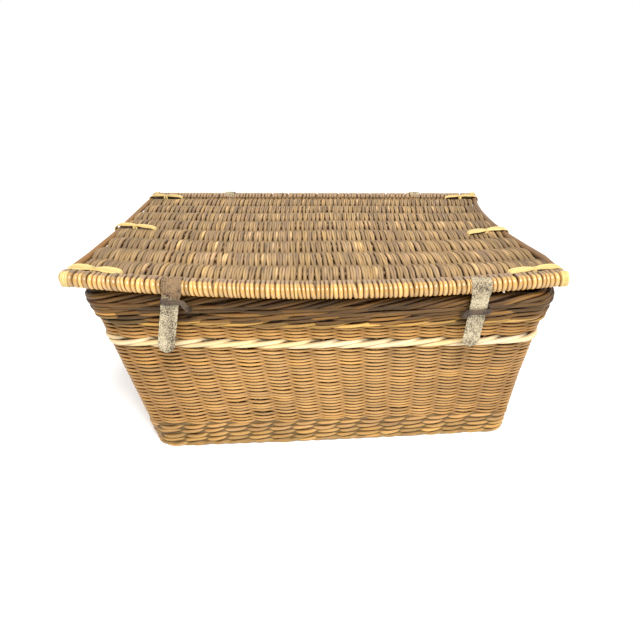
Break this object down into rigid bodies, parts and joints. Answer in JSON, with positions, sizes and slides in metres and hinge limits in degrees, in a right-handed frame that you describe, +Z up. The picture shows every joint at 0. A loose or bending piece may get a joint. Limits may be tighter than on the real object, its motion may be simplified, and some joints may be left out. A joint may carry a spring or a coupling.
{
  "type": "wicker storage trunk",
  "caption": "Flared willow trunk with a flat woven lid on leather hinge loops and straps that drop through keeper loops.",
  "frame": {"origin": "middle of the underside, on the floor", "axes": "+X along the length, to the right seen from the front; -Y is the front with the straps; +Z up"},
  "size_m": [0.844, 0.5836, 0.3793],
  "materials": {
    "golden_willow": "satin, rod-woven, brown in the gaps",
    "stick_willow": "satin",
    "pale_willow": "matt, buff, rope-like rods",
    "lid_willow": "weathered, matt",
    "roll_willow": "semi-gloss",
    "split_willow": "semi-gloss, split skein",
    "strap_leather": "worn, cracked, speckled",
    "keeper_leather": "worn, dark"
  },
  "bodies": {
    "basket": {"base_sticks": "stick_willow", "base_weave": "golden_willow", "corner_posts": "stick_willow", "stakes_front": "stick_willow", "stakes_right": "stick_willow", "stakes_back": "stick_willow", "stakes_left": "stick_willow", "bottom_wale_front": "stick_willow", "bottom_wale_right": "stick_willow", "bottom_wale_back": "stick_willow", "bottom_wale_left": "stick_willow", "randing_front": "golden_willow", "randing_right": "golden_willow", "randing_back": "golden_willow", "randing_left": "golden_willow", "pale_wale_front": "pale_willow", "pale_wale_right": "pale_willow", "pale_wale_back": "pale_willow", "pale_wale_left": "pale_willow", "upper_randing_front": "golden_willow", "upper_randing_right": "golden_willow", "upper_randing_back": "golden_willow", "upper_randing_left": "golden_willow", "border_front": "stick_willow", "border_right": "stick_willow", "border_back": "stick_willow", "border_left": "stick_willow", "keeper_left": "keeper_leather", "keeper_right": "keeper_leather", "hinge_loop_left": "strap_leather", "hinge_loop_right": "strap_leather"},
    "lid": {"lid_front_stick": "stick_willow", "lid_back_stick": "stick_willow", "lid_sticks": "stick_willow", "lid_weave": "lid_willow", "lid_front_roll": "roll_willow", "lid_back_roll": "roll_willow", "lid_end_stick_left": "stick_willow", "lid_end_stick_right": "stick_willow", "lashing_front_left": "split_willow", "lashing_middle_left": "split_willow", "lashing_back_left": "split_willow", "lashing_front_right": "split_willow", "lashing_middle_right": "split_willow", "lashing_back_right": "split_willow"},
    "strap_left": {"strap_left": "strap_leather"},
    "strap_right": {"strap_right": "strap_leather"}
  },
  "joints": [
    {"name": "lid_hinge", "type": "hinge", "parent": "basket", "child": "lid", "pos_m": [0, 0.272, 0.364], "axis": [-1, 0, 0], "range_deg": [0, 105]},
    {"name": "strap_left_hang", "type": "hinge", "parent": "lid", "child": "strap_left", "pos_m": [-0.235, -0.272, 0.364], "axis": [-1, 0, 0], "range_deg": [-90, 0]},
    {"name": "strap_right_hang", "type": "hinge", "parent": "lid", "child": "strap_right", "pos_m": [0.262, -0.272, 0.364], "axis": [-1, 0, 0], "range_deg": [-90, 0]}
  ],
  "couplings": [
    {"joint": "strap_left_hang", "follows": "lid_hinge", "ratio": -0.85},
    {"joint": "strap_right_hang", "follows": "lid_hinge", "ratio": -0.85}
  ]
}
